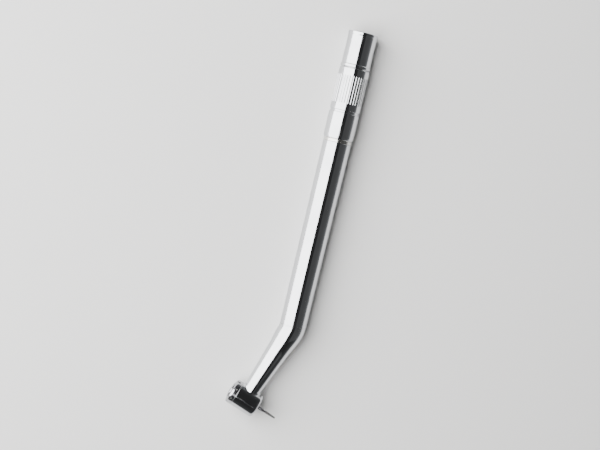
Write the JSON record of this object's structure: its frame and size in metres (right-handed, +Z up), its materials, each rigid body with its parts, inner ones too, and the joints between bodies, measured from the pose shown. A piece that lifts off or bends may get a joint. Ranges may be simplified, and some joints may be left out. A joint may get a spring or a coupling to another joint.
{
  "type": "dental handpiece",
  "caption": "High-speed dental air-turbine handpiece: polished straight handle, bent neck, small push-button head with a bur, and a screwed hose coupling sleeve.",
  "frame": {"origin": "centre of the hose mouth, at the coupling's rear end face, on the handle's axis", "axes": "+X along the handle from the hose towards the head; +Z up with the handpiece lying on its side; the neck bends towards -Y and the bur points to +Y"},
  "size_m": [0.1671, 0.0268, 0.0128],
  "materials": {
    "polished_chrome": "mirror polish with fine wiping marks",
    "sleeve_chrome": "mirror polish, turned",
    "cap_steel": "polished",
    "spray_steel": "fine turned",
    "bur_steel": "ground",
    "bur_grit": "diamond grit in nickel plate",
    "plated_brass": "nickel plated",
    "terminal_aluminium": "turned",
    "tube_steel": "drawn",
    "spring_steel": "drawn",
    "bearing_steel": "ground",
    "ball_ceramic": "polished",
    "cage_phenolic": "machined",
    "seal_rubber": "moulded",
    "turbine_aluminium": "milled",
    "rotor_steel": "ground"
  },
  "bodies": {
    "handpiece": {"rear_manifold": "plated_brass", "manifold_o_ring": "seal_rubber", "handle_shell": "polished_chrome", "neck_bulkhead": "terminal_aluminium", "neck_o_ring": "seal_rubber", "head_housing": "polished_chrome", "drive_air_tube": "tube_steel", "exhaust_tube": "tube_steel", "chip_air_tube": "tube_steel", "water_tube_rear": "tube_steel", "water_tube_front": "tube_steel", "check_valve_barrel": "tube_steel", "check_valve_spring": "spring_steel", "back_cap": "cap_steel", "button_retaining_ring": "spring_steel", "button_spring": "spring_steel", "preload_washer": "spring_steel", "front_dust_shield": "spray_steel", "spray_nozzles": "spray_steel", "rear_bearing_outer_ring": "bearing_steel", "rear_bearing_o_ring": "seal_rubber", "front_bearing_outer_ring": "bearing_steel", "front_bearing_o_ring": "seal_rubber"},
    "hose_end": {"hose_ferrule": "sleeve_chrome", "hose_terminal": "terminal_aluminium", "terminal_gasket": "seal_rubber", "terminal_clip": "spring_steel", "ferrule_o_ring": "seal_rubber", "drive_air_tail": "tube_steel", "exhaust_tail": "tube_steel", "chip_air_tail": "tube_steel", "water_tail": "tube_steel"},
    "coupling_nut": {"coupling_nut": "sleeve_chrome"},
    "check_valve_ball": {"check_valve_ball": "tube_steel"},
    "rotor": {"spindle": "rotor_steel", "impeller": "turbine_aluminium", "chuck_collet": "rotor_steel", "rear_bearing_inner_ring": "bearing_steel", "front_bearing_inner_ring": "bearing_steel"},
    "rear_cage": {"rear_bearing_cage": "cage_phenolic", "rear_bearing_balls": "ball_ceramic"},
    "front_cage": {"front_bearing_cage": "cage_phenolic", "front_bearing_balls": "ball_ceramic"},
    "chuck_pusher": {"chuck_pusher": "rotor_steel"},
    "button": {"push_button": "cap_steel"},
    "bur": {"bur_shank": "bur_steel", "bur_tip": "bur_grit"}
  },
  "joints": [
    {"name": "rotor_spin", "type": "hinge", "parent": "handpiece", "child": "rotor", "pos_m": [0.16036, -0.01214, 0], "axis": [0.342, 0.9397, 0], "continuous": true},
    {"name": "rear_cage_spin", "type": "hinge", "parent": "handpiece", "child": "rear_cage", "pos_m": [0.15923, -0.01525, 0], "axis": [0.342, 0.9397, 0], "continuous": true},
    {"name": "front_cage_spin", "type": "hinge", "parent": "handpiece", "child": "front_cage", "pos_m": [0.1615, -0.009, 0], "axis": [0.342, 0.9397, 0], "continuous": true},
    {"name": "bur_pull", "type": "slide", "parent": "rotor", "child": "bur", "axis": [0.342, 0.9397, 0], "range_m": [0, 0.01]},
    {"name": "button_press", "type": "slide", "parent": "handpiece", "child": "button", "axis": [0.342, 0.9397, 0], "range_m": [0, 0.0006], "stiffness_N_per_m": 9000, "springref_m": -0.0004, "deforming": ["button_spring"]},
    {"name": "pusher_slide", "type": "slide", "parent": "rotor", "child": "chuck_pusher", "axis": [0.342, 0.9397, 0], "range_m": [0, 0.00036]},
    {"name": "check_valve_lift", "type": "slide", "parent": "handpiece", "child": "check_valve_ball", "axis": [1, 0, 0], "range_m": [0, 0.0004], "stiffness_N_per_m": 40, "springref_m": -0.0005, "deforming": ["check_valve_spring"]},
    {"name": "nut_turn", "type": "hinge", "parent": "hose_end", "child": "coupling_nut", "pos_m": [0.03, 0, 0], "axis": [-1, 0, 0], "range_deg": [0, 3240]},
    {"name": "hose_slide", "type": "slide", "parent": "handpiece", "child": "hose_end", "axis": [-1, 0, 0], "range_m": [0, 0.00675]}
  ],
  "couplings": [
    {"joint": "rear_cage_spin", "follows": "rotor_spin", "ratio": 0.39583},
    {"joint": "front_cage_spin", "follows": "rotor_spin", "ratio": 0.39583},
    {"joint": "pusher_slide", "follows": "button_press", "ratio": 0.6},
    {"joint": "hose_slide", "follows": "nut_turn", "m_per_rad": 0.00011937}
  ]
}
